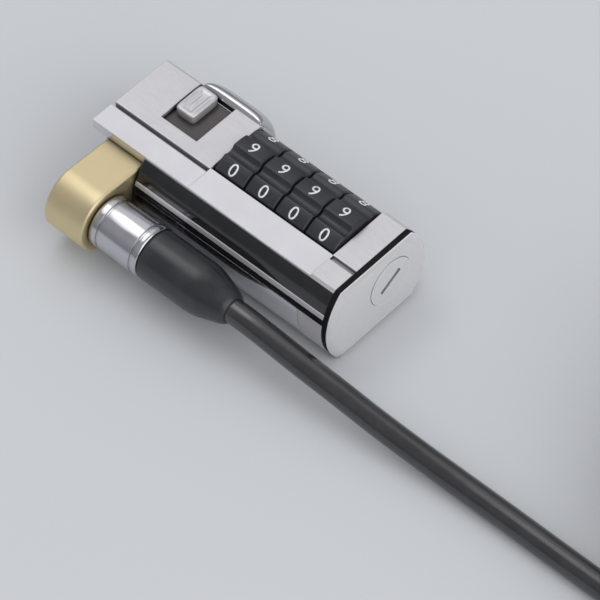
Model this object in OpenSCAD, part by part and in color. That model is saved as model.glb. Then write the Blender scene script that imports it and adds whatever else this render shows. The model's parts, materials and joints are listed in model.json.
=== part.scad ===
// Laptop cable lock: a flat-sided barrel with four number dials, a release slide on top, a swivel
// collar at the nose and a jacketed steel cable that ends in an eye.
//
// The lock lies on its flat underside, which is the plane z = 0. The barrel runs along X: its nose,
// which goes over the anchor in the laptop's slot, faces -X, and the far end faces +X.
// The barrel's axis lies over y = 0. The cable leaves on the -Y side, which is called the near side.
// With all four dials at the code, each fin of the spindle can pass the gate in its hub.

/* [Barrel] */
// Radius of the barrel
barrel_r = 10.8; // [10.4:0.1:13]
// Height of the barrel between its two flats
flat_h = 14.6; // [14.4:0.1:17]
// Length of the nose block, from the nose to the dials
block_l = 19.4; // [19.4:0.1:26]
// Thickness of the end frame that closes the dial bay
end_frame_t = 4.6; // [3.4:0.1:8]
// Height of the end frame above the top flat
end_rise = 0.3; // [0:0.1:0.6]
// Thickness of the black gasket behind the end plate
gasket_t = 0.95; // [0.2:0.05:1]
// How far the gasket lies inside the barrel's outline
gasket_inset = 0.35; // [0.2:0.05:1]
// Thickness of the end plate
end_plate_t = 0.75; // [0.7:0.05:2]
// Depth of the bevel round the end plate's face
end_bevel = 0.6; // [0.1:0.05:0.65]
// Width of that bevel on the face
end_bevel_w = 1.3; // [0.3:0.1:1.4]

/* [Top of the nose block] */
// Width of the bright rail along the near edge of the top
rail_w = 4.0; // [2.4:0.1:4.4]
// Depth of the groove between the rail and the top plate, which the end frame carries on
groove_d = 0.7; // [0.3:0.1:0.7]
// Place of the top plate's near edge across the barrel, left of the axis
plate_near_y = 3.15; // [2.8:0.05:3.4]
// Thickness of the top plate
plate_t = 0.8; // [0.6:0.1:1]
// Distance from the nose to the slide's window in the top plate
window_x = 7.1; // [6:0.1:7.3]
// Length of the window
window_l = 7.2; // [6.9:0.1:8]
// Width of the strip of window on the near side of the axis
window_near_y = 0.6; // [0.3:0.1:1.2]

/* [Side panel] */
// Thickness of the black panel let into the near side
panel_t = 0.8; // [0.5:0.1:1]
// Height of the panel's lower edge above the barrel's axis
panel_low = 1.8; // [0.5:0.1:3]
// Height of the panel's upper edge above the barrel's axis
panel_high = 7.1; // [6.2:0.1:7.1]
// Height of the bright strip's middle above the barrel's axis
strip_z = 3.4; // [3.2:0.1:5.4]
// Width of the bright strip
strip_w = 0.8; // [0.3:0.1:0.9]
// How far the strip stands out of the panel
strip_proud = 0.06; // [0:0.02:0.2]

/* [Nose and anchor bore] */
// Radius of the bore that takes the anchor
anchor_r = 3.1; // [2.6:0.05:3.2]
// Wall of the hardened liner in the bore
liner_t = 0.4; // [0.3:0.05:0.5]
// Wall of the neck round the liner
neck_t = 0.6; // [0.5:0.05:0.7]
// Depth of the bore from the nose
anchor_depth = 13.1; // [12.8:0.05:13.2]
// Width of the ring that keeps the collar on the neck
nose_ring_w = 2.7; // [1.6:0.05:2.8]

/* [Collar] */
// Thickness of the swivel collar along the barrel
collar_t = 7.7; // [7:0.1:7.8]
// Outer radius of the collar's ring round the neck
collar_ring_r = 5; // [4.9:0.05:5.1]
// Outer radius of the collar's lug round the cable
lug_r = 5.6; // [5:0.05:5.65]
// Angle that the collar swings down and round from level
swing = 120; // [90:1:125]

/* [Cable fitting] */
// Radius of the bright ferrule
ferrule_r = 4.35; // [3.6:0.05:4.4]
// Length of the ferrule in front of the collar
ferrule_l = 9.7; // [5:0.1:12]
// Radius of the ferrule's spigot in the lug
spigot_r = 2.6; // [2:0.05:3]
// Radius of the black sleeve over the cable
sleeve_r = 4.2; // [3.4:0.05:4.3]
// Length of the sleeve
sleeve_l = 15.8; // [12:0.1:20]
// Length of the sleeve's taper
sleeve_taper_l = 5.4; // [3:0.1:7]
// Radius of the sleeve at its tip
sleeve_tip_r = 2.7; // [2.5:0.05:3.2]
// Clear space between the sleeve and the barrel
sleeve_gap = 1.1; // [0.45:0.05:2]
// Radius of the steel core in the fitting
core_r = 1.5; // [0.8:0.05:1.8]

/* [Dials] */
// Number of dials
dial_count = 4; // [3:1:5]
// Distance between one dial and the next
dial_pitch = 6; // [5.9:0.1:7]
// Thickness of a dial
dial_t = 5.7; // [5.3:0.1:5.7]
// Radius of a dial
dial_r = 7.5; // [7.2:0.05:7.8]
// Clear space round the dials in the housing
dial_gap = 0.25; // [0.2:0.05:0.4]
// Place of the dials' axis beyond the barrel's axis, away from the cable
dial_y = 2.4; // [2:0.1:2.6]
// Height of the dials' axis above the barrel's axis
dial_rise = 1.7; // [1.5:0.1:1.9]
// Number of digits on a dial
digit_count = 10; // [8:1:10]
// Radius of the hollow between two digits
scallop_r = 1.1; // [0.7:0.1:1.3]
// Depth of the hollow between two digits
scallop_d = 0.6; // [0.3:0.05:0.8]
// Angle of the digit that is read, from upright towards the near side
read_angle = 31.5; // [20:0.5:40]
// Height of the far rail's edge above the underside
far_rail_h = 4; // [2.5:0.1:5]

/* [Hubs and spindle] */
// Outer radius of a hub
hub_r = 5; // [4.6:0.05:5.2]
// Width of the key that locks the hub to its dial
key_w = 1; // [0.6:0.1:1.2]
// Height of the key above the hub
key_h = 0.5; // [0.3:0.05:0.6]
// Radius of the hollow on each side of a hub's web
hub_hollow_r = 3.3; // [3.2:0.05:3.8]
// Thickness of a hub's web
web_t = 1; // [0.8:0.05:1.1]
// Place of the web from the hub's nose side
web_x = 2.6; // [2.55:0.05:2.7]
// Radius of the spindle
spindle_r = 1.6; // [1.4:0.05:1.7]
// Outer radius of a fin on the spindle
fin_r = 3; // [2.4:0.05:3.05]
// Thickness of a fin
fin_t = 0.9; // [0.6:0.05:0.95]
// Width of a fin
fin_w = 1.2; // [0.8:0.1:1.4]
// Place of a fin from the hub's nose side
fin_x = 1.5; // [1.3:0.05:1.55]
// Thickness of the washers between the dials
washer_t = 0.2; // [0.1:0.02:0.22]

/* [Release slide and latch] */
// Travel of the release slide
slide_travel = 2.5; // [2.4:0.05:2.55]
// Travel of the latch
latch_travel = 1; // [0.8:0.05:1]
// Length of the button along the barrel
button_l = 3.7; // [2.2:0.1:3.9]
// Place of the button's near edge beyond the barrel's axis
button_near_y = 1.8; // [1:0.1:2.2]
// Distance from the button's far edge to the edge of the top flat
button_inset = 0.35; // [0.1:0.05:1]
// Height of the button above the top flat
button_rise = 0.7; // [0.4:0.1:1.2]
// Thickness of the slide's plate
slide_t = 0.5; // [0.4:0.05:0.55]
// Thickness of the latch
latch_t = 1.4; // [1.2:0.05:1.5]
// Metal left between the latch's top edge and the spring's groove
latch_wall = 0.25; // [0.15:0.05:0.5]
// Radius of the pin that the slide moves the latch by
latch_pin_r = 0.5; // [0.4:0.05:0.55]
// How far the latch's rounded cover stands out of the barrel
cover_rise = 1.7; // [0.8:0.1:2]
// Length of the cover
cover_l = 11.5; // [11:0.1:13]

/* [Fits] */
// Running clearance of a shaft in its hole, on the radius
run_fit = 0.06; // [0.03:0.01:0.09]
// Clearance beside a sliding flat
slide_fit = 0.1; // [0.05:0.01:0.12]

/* [Cable] */
// Diameter of the jacketed cable
cable_d = 4; // [3.6:0.1:4]
// Turns of the coil in each of its layers
coil_turns = 2.25; // [1:0.25:3]
// Layers of the coil
coil_layers = 4; // [2:2:4]
// Radius of the coil at the middle of its turns
coil_mid_r = 22.5; // [20:0.5:24]
// Distance between the middles of neighbouring turns
turn_pitch = 4.6; // [4.5:0.05:5.2]
// Distance between the middles of the layers
layer_pitch = 4.5; // [4.45:0.05:5]

/* [Hidden] */
$fn = 96;
eps = 0.01;
big = 60;

// Stations along the barrel, from the nose to the end plate's outer face
bay_end_gap = 0.2;
bay_l = dial_count * dial_pitch + 2 * bay_end_gap;
head_l = block_l + bay_l + end_frame_t + gasket_t + end_plate_t;
nose_x = -head_l / 2;
bay_x0 = nose_x + block_l;
bay_x1 = bay_x0 + bay_l;
gasket_x = bay_x1 + end_frame_t;
plate_x = gasket_x + gasket_t;
end_x = plate_x + end_plate_t;

// The barrel's and the dials' axes, as [y, z]
axis_z = flat_h / 2;
top_flat_half = sqrt(barrel_r * barrel_r - axis_z * axis_z);
barrel_axis = [0, axis_z];
dial_axis = [dial_y, axis_z + dial_rise];

// Nose: the collar turns on the neck, between the nose ring and the body of the block
neck_r = anchor_r + liner_t + neck_t;
collar_end_gap = 0.15;
collar_x0 = nose_x + nose_ring_w + collar_end_gap;
collar_x1 = collar_x0 + collar_t;
collar_washer_t = 0.2;
collar_washer_r = collar_ring_r;
washer_end_gap = 0.05;
body_x = collar_x1 + collar_washer_t + 2 * washer_end_gap;
ring_wall_gap = 0.5;
canopy_low = collar_ring_r + ring_wall_gap;
nose_ring_r = collar_ring_r + 0.3;
swing_gap = 0.3;
canopy_step = 0.05;

// Cable fitting beside the barrel
cable_y = -(barrel_r + sleeve_gap + sleeve_r);
cable_axis = [cable_y, axis_z];
ferrule_x1 = collar_x1 + ferrule_l;
sleeve_x1 = ferrule_x1 + sleeve_l;
spigot_l = 4;
stop_gap = 0.2;
stop_head_r = 3.4;
stop_head_t = 0.4;
tip_round_l = 0.6;
tip_round_r = 0.4;
core_end_gap = 1;

// Top of the block: the top plate covers the slide's channel
top_z = flat_h;
plate_z = top_z - plate_t;
channel_clear = 0.05;
slide_z1 = plate_z - channel_clear;
slide_z0 = slide_z1 - slide_t;
channel_z = slide_z0 - channel_clear;
window_x0 = nose_x + window_x;
window_x1 = window_x0 + window_l;
button_gap = 0.5;
button_x0 = window_x0 + button_gap;
button_x1 = button_x0 + button_l;

// Spindle, and the leg that ties the slide to it
fork_r = 1;
leg_t = 1.1;
leg_w = 1.8;
leg_drop = 0.6;
bearing_t = 1.1;
leg_x1 = bay_x0 - bearing_t - slide_fit - slide_travel;
leg_x0 = leg_x1 - leg_t;
spindle_head_l = 0.8;
spindle_x0 = leg_x0 - spindle_head_l;
head_gap = 0.2;
pocket_x0 = spindle_x0 - head_gap;
pocket_x1 = bay_x0 - bearing_t;
spindle_tail = 0.6;
spindle_x1 = bay_x1 + spindle_tail;
spindle_hole_l = spindle_tail + slide_travel + head_gap;

// Slide plate and its channel
slide_lap = 0.4;
slide_x0 = window_x0 - slide_lap;
slide_x1 = leg_x1;
slide_y0 = -plate_near_y + 0.2;
slide_edge = 0.65;
slide_y1 = top_flat_half - slide_edge;

// Latch, across the barrel behind the bore's end
latch_back = 1;
latch_x = pocket_x0 - latch_back - latch_t / 2;
latch_x0 = latch_x - latch_t / 2;
latch_x1 = latch_x + latch_t / 2;
liner_x1 = latch_x0 - slide_fit / 2;
groove_w = 1.4;
groove_h = 1.65;
latch_y0 = -5.2;
latch_y1 = 7.9;
latch_h = 2 * (channel_z - groove_h - latch_wall - axis_z);
latch_hole_r = anchor_r + 0.05;
latch_slot_y1 = barrel_r + 0.1;
pin_edge = 0.85;
latch_pin_y = slide_y0 + pin_edge;
latch_pin_seat = 1;
cam_ratio = latch_travel / slide_travel;

// Release spring, in a groove under the slide plate
lug_t = 0.7;
lug_w = 1.2;
lug_drop = 1.5;
lug_back = 0.5;
lug_x0 = body_x + lug_back;
spring_y = 4.9;
spring_end_gap = 0.05;
spring_wall = 0.35;
spring_x0 = lug_x0 + lug_t + spring_end_gap;
spring_x1 = pocket_x1 - spring_wall;
spring_z = channel_z - groove_h / 2;
spring_coil_r = 0.5;
spring_wire_r = 0.13;
spring_turns = 9;
latch_spring_coil_r = 0.95;
latch_spring_wire_r = 0.14;
latch_spring_turns = 4;
latch_spring_gap = 0.05;
latch_pocket_r = 1.35;

// Cover over the latch's spring, as angles from upright towards the far side
cover_x0 = button_x0;
cover_a0 = 48;
cover_a1 = 116;

// Dials
digit_step = 360 / digit_count;
key_slot_gap = 0.05;
far_y = 2 * barrel_r;
detent_angle = read_angle + 1.5 * digit_step;
detent_t = 0.3;
detent_back = 0.35;
detent_h = 4.4;
detent_bump_r = 0.55;
detent_reach = 0.4;
detent_slot_h = 5;
detent_end_gap = 0.6;

// Screws that tie the end frame and the dial housing to the block. The angles are from upright
// towards the near side, and the places are [y, height from the axis]. The third screw lies low on
// the far side, at a height above the underside.
tie_r = 0.6;
tie_head_r = 1.1;
tie_head_t = 0.8;
tie_grip = 4;
tie_wall = 0.2;
tie_ring_r = barrel_r - panel_t - tie_head_r - tie_wall;
tie_low = 1.2;
tie_angles = [65.5, 124.5, 180 + acos((axis_z - tie_low) / tie_ring_r)];
tie_places = [for (a = tie_angles) tie_ring_r * [-sin(a), cos(a)]];
tie_tip_gap = 0.3;
tie_slot_w = 0.3;
tie_slot_d = 0.4;

// Reset screw in the end plate
reset_r = 4.2;
reset_boss_r = 2.4;
reset_proud = 0.1;
reset_slot_l = 4.6;
reset_slot_w = 0.9;
reset_slot_d = 0.5;

// The coil lies flat beside the run, with its first turn on the surface that the lock stands on
cable_r = cable_d / 2;
coil_x = 100;
run_shift = 1.9;
coil_z = cable_r;
coil_width = turn_pitch * coil_turns;
coil_in_r = coil_mid_r - coil_width / 2;
coil_out_r = coil_mid_r + coil_width / 2;
coil_y = cable_y + run_shift + coil_out_r;
coil_top_z = coil_z + (coil_layers - 1) * layer_pitch;
loop_z = coil_top_z + layer_pitch;
rings_per_turn = 24;

// The cable's route. It leaves the sleeve level, comes down to the surface that the lock stands on
// and runs along it to the coil's start, a little nearer to the barrel's line. The points are
// [x, share of the shift towards that line, height over the lying cable].
run_places = [
  [24, 0.06, 4.3], [31, 0.2, 3.4], [38, 0.4, 2.2], [46, 0.66, 1.1], [54, 0.88, 0.4], [62, 0.98, 0.1],
  [70, 1, 0], [78, 1, 0], [86, 1, 0]
];
run_points = concat(
  [[sleeve_x1, cable_y, axis_z], [sleeve_x1 + cable_d, cable_y, axis_z]],
  [for (p = run_places) [p[0], cable_y + run_shift * p[1], coil_z + p[2]]],
  [[coil_x - cable_d, cable_y + run_shift, coil_z]]);

// The tail climbs onto the coil, and the eye lies flat across it. Both are from the coil's centre,
// with heights from the eye's.
tail_points = [
  [cable_d, -coil_out_r, -layer_pitch], [2 * cable_d, -coil_out_r, -layer_pitch], [14.4, -25.1, -3.7],
  [20.2, -19.8, -2.2], [24.3, -13, -0.8], [25.8, -6, 0], [24.2, 1.5, 0], [19.2, 7.6, 0], [13.4, 10, 0],
  [8.2, 10, 0]
];
eye_points = [
  [-0.8, 10], [-5, 9.9], [-10.6, 6.6], [-16.6, 2.2], [-23, -0.4], [-29.6, 0.6], [-34.8, 5.2], [-37, 12.2],
  [-34.8, 19.2], [-29.6, 23.8], [-23, 24.8], [-16.6, 22.2], [-10.6, 17.8], [-5, 14.5], [-0.8, 14.4]
];
crimp_wall = 0.5;

// ---- Helpers ----

// A round rod along the barrel, between two stations, about the axis at = [y, z]
module x_rod(r, a, b, at = barrel_axis) {
  translate([a, at[0], at[1]]) rotate([0, 90, 0]) cylinder(r = r, h = b - a);
}

// A tube along the barrel
module x_tube(r_in, r_out, a, b, at = barrel_axis) {
  difference() {
    x_rod(r_out, a, b, at);
    x_rod(r_in, a - eps, b + eps, at);
  }
}

// A block given by its two corners
module block(low, high) {
  translate(low) cube(high - low);
}

// The barrel's outline as a solid between two stations
module barrel(a, b, r = barrel_r, z0 = 0, z1 = top_z) {
  intersection() {
    x_rod(r, a, b);
    block([a - eps, -big, z0], [b + eps, big, z1]);
  }
}

// The near-side band of the barrel's outer skin, between two heights above the axis
module near_band(a, b, t, low, high, proud = 0) {
  intersection() {
    x_tube(barrel_r - t, barrel_r + proud, a, b);
    block([a - eps, -big, axis_z + low], [b + eps, 0, axis_z + high]);
  }
}

// Holes for the tie screws
module tie_holes(a, b) {
  for (place = tie_places) {
    x_rod(tie_r, a, b, [place[0], axis_z + place[1]]);
  }
}

function unit(v) = v / norm(v);
function heading(path, i) = unit(path[min(i + 1, len(path) - 1)] - path[max(i - 1, 0)]);
function ring_at(p, t, r, sides, across) =
  let (s = unit(cross(across, t)), u = cross(t, s))
  [for (k = [0 : sides - 1]) p + r * (cos(90 + 360 * k / sides) * s + sin(90 + 360 * k / sides) * u)];

// A tube of flat-sided rings swept along a path that never runs along the direction across
module swept_tube(path, r, sides, across = [0, 0, 1]) {
  last = (len(path) - 1) * sides;
  points = [for (i = [0 : len(path) - 1]) each ring_at(path[i], heading(path, i), r, sides, across)];
  start_cap = [for (k = [1 : sides - 2]) [0, k, k + 1]];
  end_cap = [for (k = [1 : sides - 2]) [last, last + k + 1, last + k]];
  walls = [
    for (i = [0 : len(path) - 2], k = [0 : sides - 1])
      let (a = i * sides + k, b = i * sides + (k + 1) % sides)
      each [[a, a + sides, b + sides], [a, b + sides, b]]
  ];
  polyhedron(points = points, faces = concat(start_cap, walls, end_cap));
}

// A coil spring's middle line, from the origin along +X
function helix(coil_r, turns, length) = [
  for (k = [0 : turns * 10])
    [length * k / (turns * 10), coil_r * cos(36 * k), coil_r * sin(36 * k)]
];

// ---- Barrel ----

module nose_housing() {
  color("gainsboro") difference() {
    union() {
      barrel(body_x, bay_x0);
      // Canopy over the collar, and the shoulder at which the collar's swing ends
      intersection() {
        barrel(nose_x, body_x + eps);
        union() {
          block([nose_x, canopy_step - top_flat_half, axis_z + canopy_low], [body_x + eps, big, big]);
          translate([nose_x, 0, axis_z]) rotate([swing - 90, 0, 0])
            block([0, lug_r + swing_gap, -big], [body_x - nose_x + eps, big, big]);
        }
      }
      x_rod(neck_r, nose_x, body_x + eps);
    }
    // Bore for the liner, then for the anchor's tip
    x_rod(anchor_r + liner_t, nose_x - eps, liner_x1);
    x_rod(anchor_r, nose_x, nose_x + anchor_depth);
    // Seat of the top plate, and the groove beside the rail
    block([nose_x - eps, -plate_near_y, plate_z], [bay_x0 + eps, big, big]);
    block(
      [nose_x - eps, rail_w - top_flat_half, top_z - groove_d],
      [bay_x0 + eps, -plate_near_y + eps, big]);
    // Channel of the slide plate
    block(
      [slide_x0 - slide_fit, slide_y0 - slide_fit, channel_z],
      [slide_x1 + slide_travel + 2 * slide_fit, slide_y1 + slide_fit, plate_z + eps]);
    // Pocket of the slide's leg and of the spindle's head, and the spindle's bearing
    block(
      [pocket_x0, dial_y - leg_w / 2 - 2 * slide_fit, dial_axis[1] - spindle_r - slide_fit],
      [pocket_x1, dial_y + leg_w / 2 + 2 * slide_fit, channel_z + eps]);
    x_rod(spindle_r + 1.5 * slide_fit, pocket_x0, pocket_x1, dial_axis);
    x_rod(spindle_r + run_fit, pocket_x1 - eps, bay_x0 + eps, dial_axis);
    // Slot of the latch, the latch spring's pocket and the slot of its pin
    block(
      [latch_x0 - slide_fit / 2, latch_y0 - slide_fit, axis_z - latch_h / 2 - slide_fit],
      [latch_x1 + slide_fit / 2, latch_slot_y1, axis_z + latch_h / 2 + slide_fit]);
    translate([latch_x, latch_y1 - 1, axis_z]) rotate([-90, 0, 0]) cylinder(r = latch_pocket_r, h = big);
    latch_pin_way(latch_pin_r + slide_fit, [0, latch_travel], axis_z, channel_z + eps);
    // Groove of the release spring
    block(
      [lug_x0 - slide_fit, spring_y - groove_w / 2, channel_z - groove_h],
      [spring_x1, spring_y + groove_w / 2, channel_z + eps]);
    near_band(body_x - eps, bay_x0 + eps, panel_t, panel_low, panel_high, 1);
    tie_holes(bay_x0 - tie_grip, bay_x0 + eps);
  }
}

// The way of a pin that moves by step = [x, y] from its place at rest, between two heights
module latch_pin_way(r, step, z0, z1) {
  angle = atan2(step[1], step[0]);
  translate([latch_x, latch_pin_y, z0]) {
    cylinder(r = r, h = z1 - z0);
    translate([step[0], step[1], 0]) cylinder(r = r, h = z1 - z0);
    rotate([0, 0, angle]) translate([0, -r, 0]) cube([norm(step), 2 * r, z1 - z0]);
  }
}

module dial_housing() {
  color("gainsboro") difference() {
    barrel(bay_x0, bay_x1);
    x_rod(dial_r + dial_gap, bay_x0 - eps, bay_x1 + eps, dial_axis);
    block([bay_x0 - eps, dial_y, far_rail_h], [bay_x1 + eps, far_y, big]);
    // Slot behind the detent spring
    translate([0, 0, dial_axis[1] + detent_out * cos(detent_angle)])
      block(
        [bay_x0 - eps, detent_y - detent_t - slide_fit, -detent_slot_h / 2],
        [bay_x1 + eps, dial_y - dial_r + 1, detent_slot_h / 2]);
    near_band(bay_x0 - eps, bay_x1 + eps, panel_t, panel_low, panel_high, 1);
    tie_holes(bay_x0 - eps, bay_x1 + eps);
  }
}

module end_frame() {
  color("mistyrose") difference() {
    barrel(bay_x1, gasket_x, z1 = top_z + end_rise);
    x_rod(spindle_r + run_fit, bay_x1 - eps, bay_x1 + spindle_hole_l, dial_axis);
    near_band(bay_x1 - eps, gasket_x + eps, panel_t, panel_low, panel_high, 1);
    block(
      [bay_x1 - eps, rail_w - top_flat_half, top_z + end_rise - groove_d],
      [gasket_x + eps, -plate_near_y, big]);
    tie_holes(bay_x1 - eps, gasket_x + eps);
    for (place = tie_places) {
      x_rod(tie_head_r, gasket_x - tie_head_t, gasket_x + eps, [place[0], axis_z + place[1]]);
    }
  }
}

module end_gasket() {
  color("black") difference() {
    barrel(gasket_x, plate_x, barrel_r - gasket_inset, gasket_inset, top_z + end_rise - gasket_inset);
    x_rod(reset_boss_r + run_fit, gasket_x - eps, plate_x + eps, dial_axis);
  }
}

// The end plate's round edge and its two flat edges are bevelled on the outer face
module end_plate() {
  flat_x = end_x - end_bevel;
  color("whitesmoke") difference() {
    intersection() {
      union() {
        x_rod(barrel_r, plate_x, flat_x);
        translate([flat_x, 0, axis_z]) rotate([0, 90, 0])
          cylinder(r1 = barrel_r, r2 = barrel_r - end_bevel_w, h = end_bevel);
      }
      translate([0, big, 0]) rotate([90, 0, 0]) linear_extrude(2 * big) polygon([
        [plate_x, 0], [flat_x, 0], [end_x, end_bevel_w], [end_x, top_z + end_rise - end_bevel_w],
        [flat_x, top_z + end_rise], [plate_x, top_z + end_rise]]);
    }
    x_rod(reset_r + run_fit, plate_x - eps, end_x + eps, dial_axis);
  }
}

module reset_screw() {
  color("lightgray") difference() {
    union() {
      x_rod(reset_r, plate_x + 0.02, end_x + reset_proud, dial_axis);
      x_rod(reset_boss_r, gasket_x + 0.05, plate_x + 0.03, dial_axis);
    }
    translate([end_x + reset_proud - reset_slot_d, dial_y, dial_axis[1]]) rotate([30, 0, 0])
      block([0, -reset_slot_l / 2, -reset_slot_w / 2], [big, reset_slot_l / 2, reset_slot_w / 2]);
  }
}

module top_plate() {
  color("lavenderblush") difference() {
    intersection() {
      barrel(nose_x, bay_x0);
      block([nose_x, -plate_near_y, plate_z], [bay_x0, big, big]);
    }
    block([window_x0, -window_near_y, 0], [window_x1, big, big]);
  }
}

module side_panel() {
  color("black") difference() {
    near_band(body_x, gasket_x, panel_t, panel_low, panel_high);
    near_band(body_x - eps, gasket_x + eps, panel_t / 2, strip_z - strip_w / 2, strip_z + strip_w / 2, 1);
  }
}

module trim_strip() {
  color("silver")
    near_band(body_x, gasket_x, panel_t / 2, strip_z - strip_w / 2, strip_z + strip_w / 2, strip_proud);
}

module tie_screws() {
  color("dimgray") for (place = tie_places) {
    difference() {
      union() {
        x_rod(
          tie_r, bay_x0 - tie_grip + tie_tip_gap, gasket_x - tie_head_t + eps,
          [place[0], axis_z + place[1]]);
        x_rod(tie_head_r, gasket_x - tie_head_t, gasket_x - eps, [place[0], axis_z + place[1]]);
      }
      translate([gasket_x - tie_slot_d, place[0], axis_z + place[1]])
        block([0, -tie_head_r, -tie_slot_w / 2], [tie_slot_d, tie_head_r, tie_slot_w / 2]);
    }
  }
}

// ---- Nose, latch and release slide ----

module nose_liner() {
  color("dimgray") x_tube(anchor_r, anchor_r + liner_t, nose_x, liner_x1);
}

module nose_ring() {
  color("dimgray") x_tube(neck_r, nose_ring_r, nose_x, nose_x + nose_ring_w);
}

module latch_cover() {
  reach = 2 * barrel_r;
  color("gainsboro") intersection() {
    x_tube(barrel_r, barrel_r + cover_rise, cover_x0, cover_x0 + cover_l);
    translate([cover_x0, 0, axis_z]) rotate([90, 0, 90]) linear_extrude(cover_l) polygon([
      [0, 0],
      [reach * sin(cover_a0), reach * cos(cover_a0)],
      [reach, reach * cos(cover_a1) / 2 + reach / 4],
      [reach * sin(cover_a1), reach * cos(cover_a1)]]);
  }
}

module latch_plate() {
  color("silver") difference() {
    block([latch_x0, latch_y0, axis_z - latch_h / 2], [latch_x1, latch_y1, axis_z + latch_h / 2]);
    x_rod(latch_hole_r, latch_x0 - eps, latch_x1 + eps, [-latch_travel, axis_z]);
    translate([latch_x, latch_pin_y, axis_z + latch_h / 2 - latch_pin_seat])
      cylinder(r = latch_pin_r, h = big);
  }
}

module latch_pin() {
  pin_z = axis_z + latch_h / 2 - latch_pin_seat;
  color("gray") translate([latch_x, latch_pin_y, pin_z])
    cylinder(r = latch_pin_r, h = slide_z1 - channel_clear - pin_z);
}

module latch_spring() {
  length = barrel_r - latch_y1 - 2 * latch_spring_gap - 2 * latch_spring_wire_r;
  color("silver") translate([latch_x, latch_y1 + latch_spring_gap + latch_spring_wire_r, axis_z])
    rotate([0, 0, 90])
    swept_tube(helix(latch_spring_coil_r, latch_spring_turns, length), latch_spring_wire_r, 6, [1, 0, 0]);
}

module release_button() {
  foot_y1 = slide_y1 - slide_fit;
  step = 2 * slide_fit;
  color("lavenderblush") {
    block(
      [button_x0, button_near_y, slide_z1 + step],
      [button_x1, top_flat_half - button_inset, top_z + button_rise]);
    block([button_x0, button_near_y, slide_z1], [button_x1, foot_y1, slide_z1 + step + eps]);
  }
}

module slide_plate() {
  color("dimgray") difference() {
    union() {
      block([slide_x0, slide_y0, slide_z0], [slide_x1, slide_y1, slide_z1]);
      block(
        [leg_x0, dial_y - leg_w / 2, dial_axis[1] - leg_drop],
        [leg_x1, dial_y + leg_w / 2, slide_z0 + eps]);
      block(
        [lug_x0, spring_y - lug_w / 2, slide_z0 - lug_drop],
        [lug_x0 + lug_t, spring_y + lug_w / 2, slide_z0 + eps]);
    }
    // Fork round the spindle's neck, and the slanting slot that moves the latch
    x_rod(fork_r, leg_x0 - eps, leg_x1 + eps, dial_axis);
    block([leg_x0 - eps, dial_y - fork_r, 0], [leg_x1 + eps, dial_y + fork_r, dial_axis[1]]);
    latch_pin_way(latch_pin_r + slide_fit / 2, [-slide_travel, latch_travel], slide_z0 - eps, slide_z1 + eps);
  }
}

module release_spring() {
  length = spring_x1 - spring_x0 - 2 * spring_wire_r;
  color("silver") translate([spring_x0 + spring_wire_r, spring_y, spring_z])
    swept_tube(helix(spring_coil_r, spring_turns, length), spring_wire_r, 6, [1, 0, 0]);
}

// Place of dial i's nose side, with i from 0
function dial_x(i) = bay_x0 + bay_end_gap + i * dial_pitch + (dial_pitch - dial_t) / 2;

module spindle() {
  color("silver") {
    x_rod(spindle_r, spindle_x0, leg_x0, dial_axis);
    x_rod(fork_r, leg_x0 - eps, leg_x1 + eps, dial_axis);
    x_rod(spindle_r, leg_x1, spindle_x1, dial_axis);
    for (i = [0 : dial_count - 1]) {
      translate([dial_x(i) + fin_x, dial_y - fin_w / 2, dial_axis[1]]) cube([fin_t, fin_w, fin_r]);
    }
  }
}

// ---- Dials ----

// A dial: a ring with a hollow between each two digits and a key slot behind each digit
module dial(i) {
  x0 = dial_x(i);
  color([0.09, 0.09, 0.1]) difference() {
    x_tube(hub_r + run_fit, dial_r, x0, x0 + dial_t, dial_axis);
    for (k = [0 : digit_count - 1]) {
      a = read_angle + (k + 0.5) * digit_step;
      out = dial_r - scallop_d + scallop_r;
      x_rod(scallop_r, x0 - eps, x0 + dial_t + eps, dial_axis + out * [-sin(a), cos(a)]);
      translate([x0, dial_axis[0], dial_axis[1]]) rotate([k * digit_step, 0, 0])
        block(
          [-eps, -key_w / 2 - key_slot_gap, 0],
          [dial_t + eps, key_w / 2 + key_slot_gap, hub_r + key_h + run_fit]);
    }
  }
}

// A hub: a ring with a web between two hollows, a gate through the web and a key in its dial
module hub(i) {
  x0 = dial_x(i);
  gate_w = fin_w + 3 * slide_fit;
  color("darkkhaki") difference() {
    union() {
      x_rod(hub_r, x0, x0 + dial_t, dial_axis);
      translate([x0, dial_axis[0], dial_axis[1]])
        block([0, -key_w / 2, 0], [dial_t, key_w / 2, hub_r + key_h]);
    }
    x_rod(hub_hollow_r, x0 - eps, x0 + web_x, dial_axis);
    x_rod(hub_hollow_r, x0 + web_x + web_t, x0 + dial_t + eps, dial_axis);
    x_rod(spindle_r + run_fit, x0, x0 + dial_t, dial_axis);
    translate([x0, dial_axis[0], dial_axis[1]])
      block([0, -gate_w / 2, 0], [dial_t - eps, gate_w / 2, hub_hollow_r]);
  }
}

module dial_washers() {
  color("silver") for (i = [1 : dial_count - 1]) {
    x = bay_x0 + bay_end_gap + i * dial_pitch;
    x_tube(spindle_r + run_fit, hub_r - 0.4, x - washer_t / 2, x + washer_t / 2, dial_axis);
  }
}

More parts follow.
